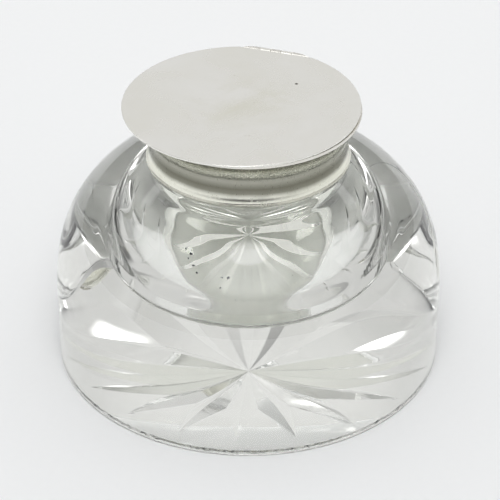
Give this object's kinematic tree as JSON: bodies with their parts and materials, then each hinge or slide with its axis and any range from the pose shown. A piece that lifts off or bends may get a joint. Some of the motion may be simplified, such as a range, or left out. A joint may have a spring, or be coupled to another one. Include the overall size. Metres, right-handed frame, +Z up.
{
  "type": "inkwell",
  "caption": "Squat round glass inkwell with a bell-shaped ink well, a star-cut base and a flush-hinged flat silver lid on a concave silver collar.",
  "frame": {"origin": "centre of the round base, on the surface the inkwell stands on", "axes": "+Z up along the axis of the glass; +Y to the rear, where the lid is hinged; +X to the right seen from the front"},
  "size_m": [0.1, 0.1, 0.0719],
  "materials": {
    "glass": "polished clear glass, scuffed round the base",
    "plaster": "matt bedding plaster",
    "collar_silver": "tarnished satin silver",
    "silver": "satin silver",
    "lid_silver": "worn satin silver with fine scratches",
    "pin": "drawn wire"
  },
  "bodies": {
    "base": {"glass_body": "glass", "neck_plaster": "plaster", "collar": "collar_silver", "rim_wire": "silver", "mouth_plate": "silver", "mouth_tube": "silver", "collar_knuckle_left": "silver", "collar_knuckle_middle": "silver", "collar_knuckle_right": "silver", "hinge_pin": "pin"},
    "lid": {"lid_plate": "lid_silver", "lid_bezel": "silver", "lid_knuckle_left": "lid_silver", "lid_knuckle_right": "lid_silver"}
  },
  "joints": [
    {"name": "lid_hinge", "type": "hinge", "parent": "base", "child": "lid", "pos_m": [-0.00166, 0.0285, 0.07105], "axis": [-1, 0, 0], "range_deg": [0, 100]}
  ]
}
